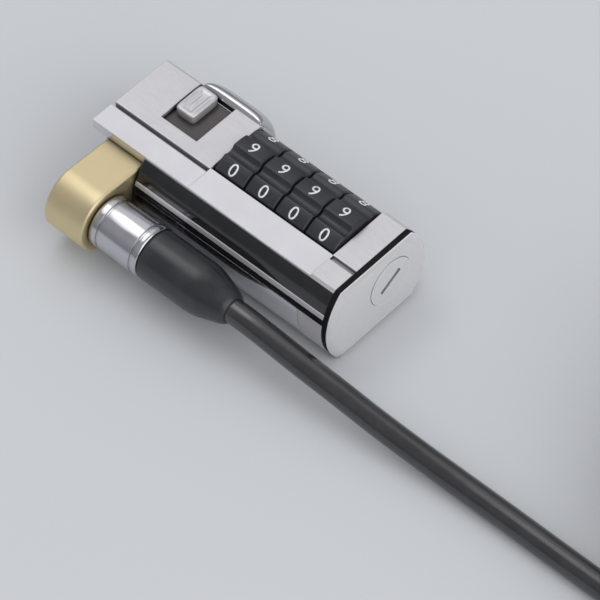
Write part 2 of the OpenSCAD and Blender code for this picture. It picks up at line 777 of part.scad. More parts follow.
// The detent spring's strip stands in the near wall; one bump rests in a hollow of each dial
detent_out = dial_r - detent_reach + detent_bump_r;
detent_y = dial_y - dial_r - dial_gap - detent_back;
module detent_spring() {
  bump = dial_axis + detent_out * [-sin(detent_angle), cos(detent_angle)];
  color("silver") {
    translate([0, 0, bump[1]]) block(
      [bay_x0 + detent_end_gap, detent_y - detent_t, -detent_h / 2],
      [bay_x1 - detent_end_gap, detent_y, detent_h / 2]);
    for (i = [0 : dial_count - 1]) {
      intersection() {
        x_rod(detent_bump_r, dial_x(i) + 1, dial_x(i) + dial_t - 1, bump);
        block([bay_x0, detent_y - eps, 0], [bay_x1, big, big]);
      }
      block(
        [dial_x(i) + 1, detent_y - eps, bump[1] - 0.3],
        [dial_x(i) + dial_t - 1, bump[0], bump[1] + 0.3]);
    }
  }
}

// ---- Collar and cable fitting ----

// The collar is a link: a ring round the neck and a lug round the cable, joined by their tangents
module collar() {
  tilt = asin((lug_r - collar_ring_r) / -cable_y);
  normal = [sin(tilt), cos(tilt)];
  lug_edge = [cable_y + lug_r * normal[0], lug_r * normal[1]];
  ring_edge = collar_ring_r * normal;
  color("khaki") difference() {
    union() {
      x_rod(collar_ring_r, collar_x0, collar_x1);
      x_rod(lug_r, collar_x0, collar_x1, cable_axis);
      translate([collar_x0, 0, axis_z]) rotate([90, 0, 90]) linear_extrude(collar_t) polygon([
        ring_edge, lug_edge, [lug_edge[0], -lug_edge[1]], [ring_edge[0], -ring_edge[1]]]);
    }
    x_rod(neck_r + run_fit, collar_x0 - eps, collar_x1 + eps);
    x_rod(spigot_r, collar_x0 - eps, collar_x1 + eps, cable_axis);
  }
}

module collar_washer() {
  x = collar_x1 + washer_end_gap;
  color("silver") x_tube(neck_r + run_fit, collar_washer_r, x, x + collar_washer_t);
}

module cable_stop() {
  color("silver") {
    x_rod(stop_head_r, collar_x0 - stop_head_t, collar_x0, cable_axis);
    x_rod(spigot_r, collar_x0 - eps, collar_x1 - spigot_l - stop_gap, cable_axis);
  }
}

module ferrule() {
  color("silver") difference() {
    union() {
      x_rod(ferrule_r, collar_x1, ferrule_x1, cable_axis);
      x_rod(spigot_r, collar_x1 - spigot_l, collar_x1 + eps, cable_axis);
    }
    x_rod(core_r, collar_x1 - spigot_l + core_end_gap, ferrule_x1 + eps, cable_axis);
  }
}

module cable_core() {
  color("gray") x_rod(core_r, collar_x1 - spigot_l + core_end_gap, sleeve_x1 - core_end_gap, cable_axis);
}

module sleeve() {
  taper_x = sleeve_x1 - sleeve_taper_l;
  color([0.12, 0.12, 0.13]) difference() {
    union() {
      x_rod(sleeve_r, ferrule_x1, taper_x, cable_axis);
      translate([taper_x, cable_y, axis_z]) rotate([0, 90, 0])
        cylinder(r1 = sleeve_r, r2 = sleeve_tip_r, h = sleeve_taper_l - tip_round_l);
      translate([sleeve_x1 - tip_round_l, cable_y, axis_z]) rotate([0, 90, 0])
        cylinder(r1 = sleeve_tip_r, r2 = sleeve_tip_r - tip_round_r, h = tip_round_l);
    }
    x_rod(core_r, ferrule_x1 - eps, sleeve_x1 - core_end_gap, cable_axis);
  }
}

// ---- Cable ----

// The coil's middle line after t turns: it spirals in and out again, layer by layer, and climbs to
// the next layer in the half turn where the spiral reverses
function coil_radius(t) = coil_in_r + coil_width * abs((t / coil_turns) % 2 - 1);
function climb(t, k) = min(max((t - coil_turns * k + 0.25) / 0.5, 0), 1);
function coil_height(t, k = 1) =
  k >= coil_layers ? coil_z : layer_pitch * climb(t, k) + coil_height(t, k + 1);
function coil_at(t) = [
  coil_x + coil_radius(t) * sin(360 * t), coil_y - coil_radius(t) * cos(360 * t), coil_height(t)
];
coil_steps = coil_turns * coil_layers * rings_per_turn;
coil_path = concat(
  [[coil_x - cable_d, coil_y - coil_out_r, coil_z]],
  [for (k = [0 : coil_steps]) coil_at(k / rings_per_turn)],
  [[coil_x + cable_d, coil_y - coil_out_r, coil_top_z]]);
tail_path = [for (p = tail_points) [coil_x, coil_y, loop_z] + p];
eye_path = [for (p = eye_points) [coil_x + p[0], coil_y + p[1], loop_z]];

// Least space between two stretches of the coil that are more than half a turn apart
function apart(p, a, b) =
  let (t = min(max(((p - a) * (b - a)) / ((b - a) * (b - a)), 0), 1)) norm(p - a - t * (b - a));
coil_gap = min([
  for (i = [0 : len(coil_path) - 1], j = [i + rings_per_turn / 2 : len(coil_path) - 2])
    apart(coil_path[i], coil_path[j], coil_path[j + 1])
]) - cable_d;
function path_length(path, i = 1) =
  i >= len(path) ? 0 : norm(path[i] - path[i - 1]) + path_length(path, i + 1);
union() {  // cable_coil
  echo(least_gap_of_the_coil = coil_gap);
  echo(cable_length = path_length(concat(run_points, coil_path, tail_path, eye_path)));
}

module cable_run() {
  color([0.13, 0.13, 0.14]) swept_tube(run_points, cable_r, 8);
}

module cable_coil() {
  color([0.13, 0.13, 0.14]) swept_tube(coil_path, cable_r, 6);
}

module cable_tail() {
  color([0.13, 0.13, 0.14]) swept_tube(tail_path, cable_r, 8);
}

module cable_eye() {
  color([0.13, 0.13, 0.14]) swept_tube(eye_path, cable_r, 8);
}

module loop_crimp() {
  r = cable_r + crimp_wall;
  x0 = eye_path[0][0];
  x1 = tail_path[len(tail_path) - 1][0];
  y0 = eye_path[0][1];
  y1 = eye_path[len(eye_path) - 1][1];
  color("silver") {
    x_rod(r, x0, x1, [y0, loop_z]);
    x_rod(r, x0, x1, [y1, loop_z]);
    block([x0, y0, loop_z - r], [x1, y1, loop_z + r]);
  }
}

nose_housing();
dial_housing();
end_frame();
end_gasket();
end_plate();
reset_screw();
top_plate();
side_panel();
trim_strip();
nose_liner();
nose_ring();
latch_cover();
latch_plate();
latch_pin();
latch_spring();
release_button();
slide_plate();
release_spring();
spindle();
dial(0);  // dial_1
dial(1);  // dial_2
dial(2);  // dial_3
dial(3);  // dial_4
hub(0);  // hub_1
hub(1);  // hub_2
hub(2);  // hub_3
hub(3);  // hub_4
dial_washers();
detent_spring();
tie_screws();
collar();
collar_washer();
cable_stop();
ferrule();
cable_core();
sleeve();
cable_run();
cable_coil();
cable_tail();
loop_crimp();
cable_eye();
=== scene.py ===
# Laptop cable lock: camera, cable, barrel, dials, collar, materials and a plain studio.
# Sizes in the dictionaries are millimetres; meshes are made in metres.
import json
import math

import bmesh
import bpy
import numpy as np
from mathutils import Matrix


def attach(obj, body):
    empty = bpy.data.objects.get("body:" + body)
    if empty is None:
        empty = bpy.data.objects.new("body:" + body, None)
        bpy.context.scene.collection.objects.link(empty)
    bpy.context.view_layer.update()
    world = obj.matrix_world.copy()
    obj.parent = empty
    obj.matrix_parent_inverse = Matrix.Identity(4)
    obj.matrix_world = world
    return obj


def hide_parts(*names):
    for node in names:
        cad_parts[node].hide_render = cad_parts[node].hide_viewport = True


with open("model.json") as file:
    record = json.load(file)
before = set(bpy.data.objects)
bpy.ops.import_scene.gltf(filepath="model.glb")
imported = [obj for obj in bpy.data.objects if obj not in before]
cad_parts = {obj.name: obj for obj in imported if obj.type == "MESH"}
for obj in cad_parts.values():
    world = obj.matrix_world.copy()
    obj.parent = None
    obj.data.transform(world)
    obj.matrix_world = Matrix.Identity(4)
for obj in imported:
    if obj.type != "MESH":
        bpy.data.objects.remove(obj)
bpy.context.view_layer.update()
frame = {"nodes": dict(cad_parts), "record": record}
mm = 0.001
print("frame loaded:", len(frame["nodes"]), "nodes")

barrel = {
    "radius": 10.8,  # of the round sides
    "axisZ": 7.3,
}
cablePlace = {"y": -16.1, "z": 7.3}  # axis of the collar's lug, the ferrule and the sleeve
dialAxis = {"y": 2.4, "z": 9.0}

view = {
    "turn": 42.4,  # degrees round from the front
    "height": 52.0,  # degrees above the horizon
    "distance": 640.0,
    "lens": 263.0,
    "sensor": 36.0,
    "clip": (0.05, 20.0),  # in metres
    "lookAt": (24.0, 0.0, 7.5),
    "aside": (-10.76, -1.03),  # the aim from that point, to the right and up as seen
}


def addCamera(v):
    # back = (sin turn cos height, -cos turn cos height, sin height): from the aim to the camera
    turn, height = math.radians(v["turn"]), math.radians(v["height"])
    level = math.cos(height)
    back = np.array([math.sin(turn) * level, -math.cos(turn) * level, math.sin(height)])
    right = np.array([math.cos(turn), math.sin(turn), 0.0])
    up = np.cross(back, right)
    aim = np.array(v["lookAt"]) + right * v["aside"][0] + up * v["aside"][1]
    data = bpy.data.cameras.new("camera")
    data.lens, data.sensor_width = v["lens"], v["sensor"]
    data.clip_start, data.clip_end = v["clip"]
    cam = bpy.data.objects.new("camera", data)
    bpy.context.scene.collection.objects.link(cam)
    cam.rotation_mode = "QUATERNION"
    cam.rotation_quaternion = Matrix(np.stack([right, up, back], 1).tolist()).to_quaternion()
    cam.location = (aim + back * v["distance"]) * mm
    bpy.context.scene.camera = cam


addCamera(view)
print("camera placed")

cleaning = {
    "merge": 2e-6,  # points nearer than this become one, in metres
    "degenerate": 1e-7,  # edges shorter than this are dropped, in metres
    "flatWithin": 0.5,  # degrees between faces that count as one flat
    "bevelFrom": 25,  # degrees between faces from which an edge is broken
}


def gridMesh(name, points, wrapU=False, wrapV=False, flip=False, sharp=35):
    # points[u, v] is a grid of places in millimetres; each cell becomes one four-sided face.
    # wrapU and wrapV join the last row to the first. UV is (u, v) from 0 to 1.
    nu, nv = points.shape[:2]
    cu, cv = nu if wrapU else nu - 1, nv if wrapV else nv - 1
    iu, iv = np.meshgrid(np.arange(cu), np.arange(cv), indexing="ij")
    ju, jv = (iu + 1) % nu, (iv + 1) % nv
    quads = np.stack([iu * nv + iv, ju * nv + iv, ju * nv + jv, iu * nv + jv], axis=-1).reshape(-1, 4)
    uvs = np.stack(
        [
            np.stack([iu, iu + 1, iu + 1, iu], -1) / max(cu, 1),
            np.stack([iv, iv, iv + 1, iv + 1], -1) / max(cv, 1),
        ],
        -1,
    ).reshape(-1, 4, 2)
    if flip:
        quads, uvs = quads[:, ::-1], uvs[:, ::-1]
    mesh = bpy.data.meshes.new(name)
    mesh.vertices.add(nu * nv)
    mesh.vertices.foreach_set("co", (points.reshape(-1) * mm).astype(np.float32))
    mesh.loops.add(quads.size)
    mesh.loops.foreach_set("vertex_index", quads.reshape(-1).astype(np.int32))
    mesh.polygons.add(len(quads))
    mesh.polygons.foreach_set("loop_start", np.arange(0, quads.size, 4, dtype=np.int32))
    mesh.uv_layers.new(name="uv").data.foreach_set("uv", uvs.reshape(-1).astype(np.float32))
    mesh.update(calc_edges=True)
    return finishMesh(name, mesh, sharp)


def finishMesh(name, mesh, sharp=35):
    # merges doubles, so that seams and poles close, then turns the faces outwards
    bm = bmesh.new()
    bm.from_mesh(mesh)
    bmesh.ops.remove_doubles(bm, verts=bm.verts, dist=cleaning["merge"])
    bmesh.ops.dissolve_degenerate(bm, edges=bm.edges, dist=cleaning["degenerate"])
    bmesh.ops.recalc_face_normals(bm, faces=bm.faces)
    bm.to_mesh(mesh)
    bm.free()
    mesh.shade_smooth()
    mesh.set_sharp_from_angle(angle=math.radians(sharp))
    piece = bpy.data.objects.new(name, mesh)
    bpy.context.scene.collection.objects.link(piece)
    return piece


def lathe(name, profile, y, z, steps=96, sharp=35):
    # profile is a closed line of (x, r) pairs. Point (i, a) = (x_i, y + r_i cos a, z + r_i sin a): the
    # line turned about X, so that its first and last points close the bore
    x, r = np.array(profile, float).T
    a = np.linspace(0, 2 * math.pi, steps, endpoint=False)
    grid = np.stack(
        [np.repeat(x[:, None], steps, 1), y + np.outer(r, np.cos(a)), z + np.outer(r, np.sin(a))], -1
    )
    return gridMesh(name, grid, wrapU=True, wrapV=True, sharp=sharp)


def rounded(corners, radii, steps=5):
    # replaces each corner of an open line of (x, r) points by a quadratic curve,
    # (1-t)^2 a + 2t(1-t) corner + t^2 b, with a and b at the given distance from the corner, or at
    # most 0.49 of the way to the next corner
    p = np.array(corners, float)
    most = 0.49
    t = np.linspace(0, 1, steps)[:, None]
    out = [p[:1]]
    for before, corner, after, cut in zip(p[:-2], p[1:-1], p[2:], radii):
        a = corner + (before - corner) * min(cut / np.linalg.norm(before - corner), most)
        b = corner + (after - corner) * min(cut / np.linalg.norm(after - corner), most)
        out.append((1 - t) ** 2 * a + 2 * t * (1 - t) * corner + t**2 * b)
    return np.vstack(out + [p[-1:]])


def softenedCopy(node, width, segments=3):
    # the solid's own shape with its edges broken by a bevel of the given width
    mesh = frame["nodes"][node].data.copy()
    bm = bmesh.new()
    bm.from_mesh(mesh)
    bmesh.ops.remove_doubles(bm, verts=bm.verts, dist=cleaning["merge"])
    flat = math.radians(cleaning["flatWithin"])
    bmesh.ops.dissolve_limit(bm, angle_limit=flat, verts=bm.verts, edges=bm.edges)
    bm.to_mesh(mesh)
    bm.free()
    mesh.shade_smooth()
    piece = bpy.data.objects.new(node + ".shown", mesh)
    bpy.context.scene.collection.objects.link(piece)
    bevel = piece.modifiers.new("edges", "BEVEL")
    bevel.width, bevel.segments = width * mm, segments
    bevel.limit_method, bevel.angle_limit = "ANGLE", math.radians(cleaning["bevelFrom"])
    bevel.use_clamp_overlap = True
    normals = piece.modifiers.new("normals", "WEIGHTED_NORMAL")
    normals.keep_sharp = False
    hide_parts(node)
    return piece


def smoothLine(points, spacing):
    # a Catmull-Rom curve through the points, resampled at even steps of its length
    p = np.array(points, float)
    ends = np.vstack([2 * p[0] - p[1], p, 2 * p[-1] - p[-2]])
    a, b, c, d = ends[:-3], ends[1:-2], ends[2:-1], ends[3:]
    t = np.linspace(0, 1, 24, endpoint=False)[None, :, None]
    a, b, c, d = (q[:, None, :] for q in (a, b, c, d))
    line = 0.5 * (2 * b + (c - a) * t + (2 * a - 5 * b + 4 * c - d) * t**2 + (3 * b - a - 3 * c + d) * t**3)
    line = np.vstack([line.reshape(-1, 3), p[-1:]])
    run = np.concatenate([[0], np.cumsum(np.linalg.norm(np.diff(line, axis=0), axis=1))])
    at = np.linspace(0, run[-1], max(2, int(round(run[-1] / spacing)) + 1))
    return np.stack([np.interp(at, run, line[:, i]) for i in range(3)], -1)


def tube(name, line, radius, sides=16):
    # point (i, a) = line_i + radius (side_i cos a + over_i sin a), where side is level and square to
    # the line and over is square to both; a flat ring of its own closes each end
    ahead = np.gradient(line, axis=0)
    ahead /= np.linalg.norm(ahead, axis=1)[:, None]
    side = np.cross([0.0, 0.0, 1.0], ahead)
    side /= np.linalg.norm(side, axis=1)[:, None]
    over = np.cross(ahead, side)
    a = np.linspace(0, 2 * math.pi, sides, endpoint=False)
    ring = side[:, None, :] * np.cos(a)[None, :, None] + over[:, None, :] * np.sin(a)[None, :, None]
    grid = line[:, None, :] + radius * ring
    grid = np.concatenate([np.repeat(line[:1, None], sides, 1), grid, np.repeat(line[-1:, None], sides, 1)])
    return gridMesh(name, grid, wrapV=True, sharp=60)


cable = {
    "diameter": 4.0,
    "start": (11.0, -16.1, 7.3),  # where it leaves the sleeve
    "shift": 1.9,  # how far the run moves over towards the barrel's line
    "run": [  # x, share of that shift, height over the lying cable
        (24, 0.06, 4.3), (31, 0.2, 3.4), (38, 0.4, 2.2), (46, 0.66, 1.1), (54, 0.88, 0.4), (62, 0.98, 0.1),
        (70, 1, 0), (78, 1, 0), (86, 1, 0),
    ],
    "coilX": 100.0,
    "coilMiddle": 22.5,  # radius at the middle of the turns
    "turns": 2.25,  # in a layer
    "layers": 4,
    "turnPitch": 4.6,
    "layerPitch": 4.5,
    "rampTurns": 0.5,  # share of a turn in which the coil climbs to its next layer
    "stepsPerTurn": 96,
    "tail": [
        (4, -27.675, -4.5), (8, -27.675, -4.5), (14.4, -25.1, -3.7), (20.2, -19.8, -2.2), (24.3, -13, -0.8),
        (25.8, -6, 0), (24.2, 1.5, 0), (19.2, 7.6, 0), (13.4, 10, 0), (8.2, 10, 0),
    ],
    "eye": [
        (-0.8, 10), (-5, 9.9), (-10.6, 6.6), (-16.6, 2.2), (-23, -0.4), (-29.6, 0.6), (-34.8, 5.2),
        (-37, 12.2), (-34.8, 19.2), (-29.6, 23.8), (-23, 24.8), (-16.6, 22.2), (-10.6, 17.8),
        (-5, 14.5), (-0.8, 14.4),
    ],
    "spacing": 1.5,  # between rings
}


def coilLine(c, centreY, lowZ):
    # after t turns: radius = inner + width |(t/turns) mod 2 - 1|, angle = t turns from straight ahead,
    # height = layer pitch times one ramp for each layer, over the half turn where the spiral reverses
    whole = c["turns"] * c["layers"]
    t = np.linspace(0, whole, int(whole * c["stepsPerTurn"]) + 1)
    width = c["turnPitch"] * c["turns"]
    radius = c["coilMiddle"] - width / 2 + width * np.abs((t / c["turns"]) % 2 - 1)
    ramp = c["rampTurns"]
    ramps = [np.clip((t - c["turns"] * k + ramp / 2) / ramp, 0, 1) for k in range(1, c["layers"])]
    height = lowZ + c["layerPitch"] * np.sum([r * r * (3 - 2 * r) for r in ramps], axis=0)
    turn = 2 * math.pi * t
    return np.stack([c["coilX"] + radius * np.sin(turn), centreY - radius * np.cos(turn), height], -1)


def cableLine(c):
    r = c["diameter"] / 2
    x, y, z = c["start"]
    outer = c["coilMiddle"] + c["turnPitch"] * c["turns"] / 2
    lying = y + c["shift"]
    centreY = lying + outer
    eyeZ = r + c["layers"] * c["layerPitch"]
    run = [(x, y, z), (x + 2 * r, y, z)] + [(a, y + c["shift"] * part, r + h) for a, part, h in c["run"]]
    run += [(c["coilX"] - 2 * r, lying, r)]
    tail = [(c["coilX"] + a, centreY + b, eyeZ + h) for a, b, h in c["tail"]]
    eye = [(c["coilX"] + a, centreY + b, eyeZ) for a, b in c["eye"]]
    coil = coilLine(c, centreY, r)
    out = smoothLine(run + [tuple(coil[0])], 1.0)
    back = smoothLine([tuple(coil[-1])] + tail + eye, 1.0)
    line = np.vstack([out[:-1], coil, back[1:]])
    length = np.concatenate([[0], np.cumsum(np.linalg.norm(np.diff(line, axis=0), axis=1))])
    at = np.linspace(0, length[-1], int(length[-1] / c["spacing"]) + 1)
    return np.stack([np.interp(at, length, line[:, i]) for i in range(3)], -1), length[-1]


line, cableLength = cableLine(cable)
cablePiece = tube("cable", line, cable["diameter"] / 2)
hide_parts("cable_run", "cable_coil", "cable_tail", "cable_eye")
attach(cablePiece, "collar_body")

crimp = {
    "x": (99.2, 108.2),
    "y": (23.475, 27.875),  # middles of its two bores
    "z": 20.0,
    "radius": 2.5,
    "waist": 0.14,  # how far each press mark goes in
    "marks": 3,
    "marked": (0.08, 0.84),  # where the marks start and how much they take up, as shares of its length
    "edge": 0.45,
}


def crimpSurface(c):
    # a round-ended outline about two bores, carried along X. Its size at station x is the radius less
    # waist (1 - cos(2 pi marks u)) / 2 over the marked length, u running from 0 to 1 there, and it
    # draws in at both ends on a quarter circle
    x0, x1 = c["x"]
    half, r = (c["y"][1] - c["y"][0]) / 2, c["radius"]
    middle = (c["y"][0] + c["y"][1]) / 2
    a = np.linspace(0, 2 * math.pi, 72, endpoint=False)
    outline = np.stack([np.cos(a), np.sin(a)], -1)
    straight = np.sign(np.round(np.cos(a), 6)) * half
    s = np.linspace(0, 1, 61)
    x = x0 + (x1 - x0) * s
    edge = c["edge"]
    near = np.clip(np.minimum(x - x0, x1 - x) / edge, 0, 1)
    shrink = edge * (1 - np.sqrt(np.clip(1 - (1 - near) ** 2, 0, 1)))
    first, share = c["marked"]
    mark = np.clip((s - first) / share * c["marks"], 0, c["marks"])
    press = c["waist"] * (0.5 - 0.5 * np.cos(2 * math.pi * mark))
    size = r - shrink - press
    grid = np.zeros((len(s), len(a), 3))
    grid[:, :, 0] = x[:, None]
    grid[:, :, 1] = middle + straight[None] + size[:, None] * outline[None, :, 0]
    grid[:, :, 2] = c["z"] + size[:, None] * outline[None, :, 1]
    cap0, cap1 = grid[:1].copy(), grid[-1:].copy()
    cap0[:, :, 2], cap1[:, :, 2] = c["z"], c["z"]
    return np.concatenate([cap0, grid, cap1])


crimpPiece = gridMesh("crimp", crimpSurface(crimp), wrapV=True)
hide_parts("loop_crimp")
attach(crimpPiece, "collar_body")

print("cable:", round(cableLength), "mm")


edgeWear = {
    "reach": 0.00035,  # metres over which the normal is rounded
    "leans": (0.90, 0.995),  # cosine of the lean on a worn edge and on a flat
    "cloudScale": 700.0,
    "samples": 8,
}
# painted shade in seams and recesses: the metal's colour is darkened where nearby surface covers it
paintedSeamShade = {
    "reach": 0.0015,  # metres
    "most": 0.85,
    "clear": (0.25, 0.85),  # open share of directions in a full seam and in the open
    "shade": 0.18,  # of the painted seam shade, beside the metal's own colour
    "samples": 8,
}


def times(colour, share):
    return tuple(min(1.0, c * share) for c in colour)


class Finish:
    # one node material: node() adds a node whose inputs are values or other nodes' outputs
    def __init__(self, name):
        self.material = bpy.data.materials.new(name)
        self.material.use_nodes = True
        self.tree = self.material.node_tree
        self.tree.nodes.clear()
        self.out = self.node("ShaderNodeOutputMaterial")
        self.shader = self.node("ShaderNodeBsdfPrincipled")
        self.tree.links.new(self.shader.outputs[0], self.out.inputs[0])
        self.coords = self.node("ShaderNodeTexCoord")

    def node(self, kind, settings=(), **inputs):
        made = self.tree.nodes.new(kind)
        for key, value in dict(settings).items():
            setattr(made, key, value)
        for key, value in inputs.items():
            self.put(made, int(key[1:]) if key[0] == "i" and key[1:].isdigit() else key, value)
        return made

    def put(self, node, socket, value):
        target = node.inputs[socket]
        if isinstance(value, bpy.types.NodeSocket):
            self.tree.links.new(value, target)
        else:
            target.default_value = value

    def shade(self, **values):
        for key, value in values.items():
            self.put(self.shader, key.replace("_", " "), value)

    def stretched(self, scale):
        return self.node("ShaderNodeMapping", i0=self.coords.outputs["Object"], i3=scale).outputs[0]

    def noise(self, scale, detail=4.0, roughness=0.6, vector=None):
        made = self.node("ShaderNodeTexNoise")
        self.put(made, "Vector", vector or self.coords.outputs["Object"])
        self.put(made, "Scale", scale)
        self.put(made, "Detail", detail)
        self.put(made, "Roughness", roughness)
        return made.outputs[0]

    def spread(self, value, low, high, fromLow=0.3, fromHigh=0.7):
        made = self.node("ShaderNodeMapRange")
        for socket, v in ((0, value), (1, fromLow), (2, fromHigh), (3, low), (4, high)):
            self.put(made, socket, v)
        return made.outputs[0]

    def ramp(self, value, stops):
        made = self.node("ShaderNodeValToRGB", i0=value)
        ramp = made.color_ramp
        while len(ramp.elements) < len(stops):
            ramp.elements.new(0.5)
        for element, (place, colour) in zip(ramp.elements, stops):
            element.position, element.color = place, (*colour, 1.0)
        return made.outputs[0]

    def mix(self, share, first, second):
        made = self.node("ShaderNodeMix", {"data_type": "RGBA"}, i0=share)
        for socket, colour in ((6, first), (7, second)):
            self.put(made, socket, (*colour, 1.0) if isinstance(colour, tuple) else colour)
        return made.outputs[2]

    def edges(self, e=edgeWear):
        # 1 along an edge and 0 on a flat: how far the normal, rounded over the reach, leans away from
        # the true one, times a cloud that breaks the worn line up
        soft = self.node("ShaderNodeBevel", {"samples": e["samples"]}, i0=e["reach"])
        true = self.node("ShaderNodeNewGeometry").outputs["Normal"]
        lean = self.node("ShaderNodeVectorMath", {"operation": "DOT_PRODUCT"}, i0=soft.outputs[0], i1=true)
        line = self.spread(lean.outputs["Value"], 1.0, 0.0, *e["leans"])
        cloud = self.spread(self.noise(e["cloudScale"], 3.0), 0.35, 1.0, 0.35, 0.6)
        return self.node("ShaderNodeMath", {"operation": "MULTIPLY"}, i0=line, i1=cloud).outputs[0]

    def seams(self, d=paintedSeamShade):
        # painted shade: 0 in the open and up to most in a seam, by the share of directions that are covered
        # within reach
        clear = self.node("ShaderNodeAmbientOcclusion", {"samples": d["samples"]}, Distance=d["reach"])
        return self.spread(clear.outputs["AO"], d["most"], 0.0, *d["clear"])

    def dirtied(self, rubbed, colour):
        # painted shade: in the seams the colour turns towards a darker copy of itself
        seamShadeColour = times(colour, paintedSeamShade["shade"])
        self.put(self.shader, "Base Color", self.mix(self.seams(), rubbed, seamShadeColour))

    def bump(self, height, distance, strength=1.0):
        made = self.node("ShaderNodeBump")
        self.put(made, "Height", height)
        self.put(made, "Distance", distance)
        self.put(made, "Strength", strength)
        self.put(self.shader, "Normal", made.outputs[0])


def mirrorMetal(name, colour, rough=(0.07, 0.16), wear=0.000004, worn=0.9):
    # polished plating: soft smudges in its roughness, a fine relief of the given wear in metres, and
    # edges rubbed duller; worn is how bright the rubbed edge is beside the rest. Painted shade darkens the
    # seams
    f = Finish(name)
    smudge = f.noise(140.0, 3.0)
    edge = f.edges()
    plain = f.ramp(smudge, [(0.35, times(colour, 0.94)), (0.7, colour)])
    f.shade(Metallic=1.0, Specular_IOR_Level=0.5)
    # painted shade darkens the seams
    f.dirtied(f.mix(edge, plain, times(colour, worn)), colour)
    dull = f.node("ShaderNodeMath", {"operation": "MULTIPLY"}, i0=edge, i1=0.12).outputs[0]
    haze = f.spread(smudge, rough[0], rough[1])
    f.put(f.shader, "Roughness", f.node("ShaderNodeMath", {"operation": "ADD"}, i0=haze, i1=dull).outputs[0])
    f.bump(f.noise(1600.0, 5.0), wear, 0.5)
    return f.material


def satinMetal(name, colour, rough=(0.26, 0.4), along=(0.12, 1.0, 1.0), metallic=1.0):
    # brushed plating: grain drawn out along one direction, in colour, roughness and relief, with
    # faint clouds across it, edges rubbed bright and seams darkened by painted shade
    f = Finish(name)
    grain = f.noise(3800.0, 5.0, 0.75, f.stretched(along))
    cloud = f.noise(90.0, 2.0)
    edge = f.edges()
    f.shade(Metallic=metallic)
    brushed = f.ramp(grain, [(0.3, times(colour, 0.88)), (0.7, colour)])
    clouded = f.mix(f.spread(cloud, 0.0, 0.22), brushed, times(colour, 0.8))
    # painted shade darkens the seams
    f.dirtied(f.mix(edge, clouded, times(colour, 1.12)), colour)
    f.put(f.shader, "Roughness", f.spread(cloud, rough[0], rough[1]))
    f.bump(grain, 0.000006, 0.6)
    return f.material


def mouldedBlack(name, colour, rough, pits=0.00001, grainScale=2600.0, coat=0.0, shine=0.4, worn=0.05):
    # black plastic or rubber: fine moulded grain, slight dust in the colour, edges worn a little
    # greyer and smoother
    f = Finish(name)
    grain = f.noise(grainScale, 4.0, 0.65)
    dust = f.noise(260.0, 6.0, 0.7)
    lifted = tuple(min(1.0, c * 1.7 + 0.004) for c in colour)
    f.shade(Metallic=0.0, Specular_IOR_Level=shine, Coat_Weight=coat, Coat_Roughness=0.06)
    dusty = f.ramp(dust, [(0.45, colour), (0.78, lifted)])
    f.put(f.shader, "Base Color", f.mix(f.edges(), dusty, (worn, worn, worn * 1.04)))
    f.put(f.shader, "Roughness", f.spread(dust, rough[0], rough[1]))
    f.bump(grain, pits, 0.5)
    return f.material


finish = {
    "body_chrome": mirrorMetal("polishedChrome", (0.78, 0.78, 0.81)),
    # a darker copy of the polished chrome: painted shade on the ferrule and the latch cover
    "chrome_painted_shade": mirrorMetal("chromePaintedShade", (0.58, 0.58, 0.61), (0.14, 0.24)),
    "end_satin": satinMetal("pearlSatin", (0.66, 0.65, 0.67), (0.3, 0.42), metallic=0.62),
    # a paler copy of pearlSatin: painted light on the end plate and the reset screw
    "satin_painted_light": satinMetal("pearlSatinPaintedLight", (0.80, 0.79, 0.81), (0.3, 0.42), metallic=0.5),
    "black_plastic": mouldedBlack(
        "pianoBlack", (0.008, 0.008, 0.009), (0.06, 0.16), 0.000002, 900.0, coat=0.6, worn=0.02
    ),
    "gasket": mouldedBlack("gasketRubber", (0.006, 0.006, 0.007), (0.6, 0.75), shine=0.15, worn=0.01),
    "dial_black": mouldedBlack(
        "dialBlack", (0.021, 0.022, 0.027), (0.28, 0.42), 0.000008, 3200.0, shine=0.45
    ),
    "hub_brass": satinMetal("turnedBrass", (0.74, 0.58, 0.30), (0.2, 0.34), (1.0, 0.1, 0.1)),
    # dark steel, its colour lowered further as painted shade for the window recess round the slide plate
    "hard_steel": satinMetal("darkSteelPaintedShade", (0.12, 0.11, 0.11), (0.3, 0.45)),
    "spring_steel": mirrorMetal("springSteel", (0.62, 0.62, 0.64), (0.18, 0.3)),
    "collar_gold": mirrorMetal("paleGold", (0.78, 0.66, 0.41), (0.42, 0.54), 0.000006, 1.06),
    "sleeve_black": mouldedBlack(
        "sleeveRubber", (0.016, 0.017, 0.020), (0.26, 0.38), grainScale=2200.0, shine=0.6
    ),
    "cable_jacket": mouldedBlack(
        "jacketVinyl", (0.012, 0.012, 0.014), (0.17, 0.26), grainScale=1200.0, shine=1.0
    ),
    "crimp_metal": satinMetal("crimpAluminium", (0.78, 0.78, 0.79), (0.28, 0.42)),
}


def dress(piece, look):
    piece.data.materials.clear()
    piece.data.materials.append(finish[look])
    for polygon in piece.data.polygons:
        polygon.material_index = 0


def settle(piece, body, look):
    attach(piece, body)
    dress(piece, look)


slotOf = {part["node"]: part["material_slot"] for part in frame["record"]["subparts"]}
for node, solid in frame["nodes"].items():
    dress(solid, slotOf[node])
dress(cablePiece, "cable_jacket")
dress(crimpPiece, "crimp_metal")
print("materials:", len(finish))


# width of the broken edge on each piece that keeps its solid's shape, and the body it rides on
softened = {
    "nose_housing": (0.16, "lock_body"),
    "dial_housing": (0.14, "lock_body"),
    "end_frame": (0.15, "lock_body"),
    "end_plate": (0.06, "lock_body"),
    "top_plate": (0.14, "lock_body"),
    "side_panel": (0.08, "lock_body"),
    "trim_strip": (0.05, "lock_body"),
    "nose_ring": (0.18, "lock_body"),
    "reset_screw": (0.2, "reset_body"),
    "slide_plate": (0.06, "slide_body"),
    "collar": (0.55, "collar_body"),
}
